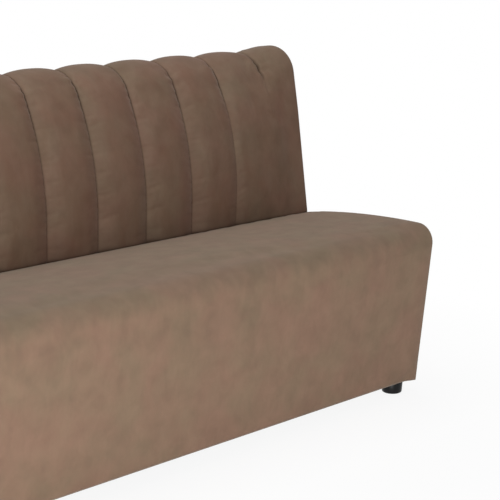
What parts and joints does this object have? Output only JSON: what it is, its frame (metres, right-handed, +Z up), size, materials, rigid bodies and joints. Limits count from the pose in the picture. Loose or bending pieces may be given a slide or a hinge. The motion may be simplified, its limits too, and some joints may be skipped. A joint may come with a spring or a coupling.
{
  "type": "upholstered banquette",
  "caption": "Armless upholstered banquette with a tight sloped-front seat, a channelled back that rolls over the top, and low round feet.",
  "frame": {"origin": "on the floor, under the middle of the whole outline", "axes": "+X along the seat to the sitter's left, -Y is the front, +Z up"},
  "size_m": [1.83, 0.724, 0.9509],
  "materials": {
    "velvet": "mole brown velvet with a soft nap",
    "foot_plastic": "black satin moulded plastic",
    "plywood": "raw plywood",
    "softwood": "planed softwood",
    "fibreboard": "thin hard fibreboard",
    "foam": "open cell polyurethane foam",
    "wadding": "polyester wadding",
    "webbing": "elastic woven webbing",
    "lining_cloth": "black non-woven lining",
    "zinc_steel": "zinc plated"
  },
  "bodies": {
    "root": {"back_end_cover_L": "velvet", "back_end_cover_R": "velvet", "back_end_pad_L": "foam", "back_end_pad_R": "foam", "back_foam": "foam", "back_joint_rail": "softwood", "back_low_rail": "softwood", "back_panel": "plywood", "back_post_1": "plywood", "back_post_2": "plywood", "back_post_3": "plywood", "back_post_4": "plywood", "back_tack_rail": "softwood", "back_top_rail": "softwood", "base_end_board_L": "plywood", "base_end_board_R": "plywood", "base_front_board": "plywood", "base_rear_board": "plywood", "base_rib_1": "plywood", "base_rib_2": "plywood", "base_rib_3": "plywood", "channel_back": "velvet", "dust_cover": "lining_cloth", "feet_front": "foot_plastic", "feet_rear": "foot_plastic", "foot_blocks_front": "softwood", "foot_blocks_rear": "softwood", "foot_studs": "zinc_steel", "outside_back_board": "fibreboard", "outside_back_cover": "velvet", "outside_back_wadding": "wadding", "platform_cloth": "lining_cloth", "seat_cover": "velvet", "seat_end_cover_L": "velvet", "seat_end_cover_R": "velvet", "seat_foam": "foam", "seat_rail_front": "softwood", "seat_rail_rear": "softwood", "seat_wrap": "wadding", "webbing_cross": "webbing", "webbing_long": "webbing"}
  },
  "joints": []
}
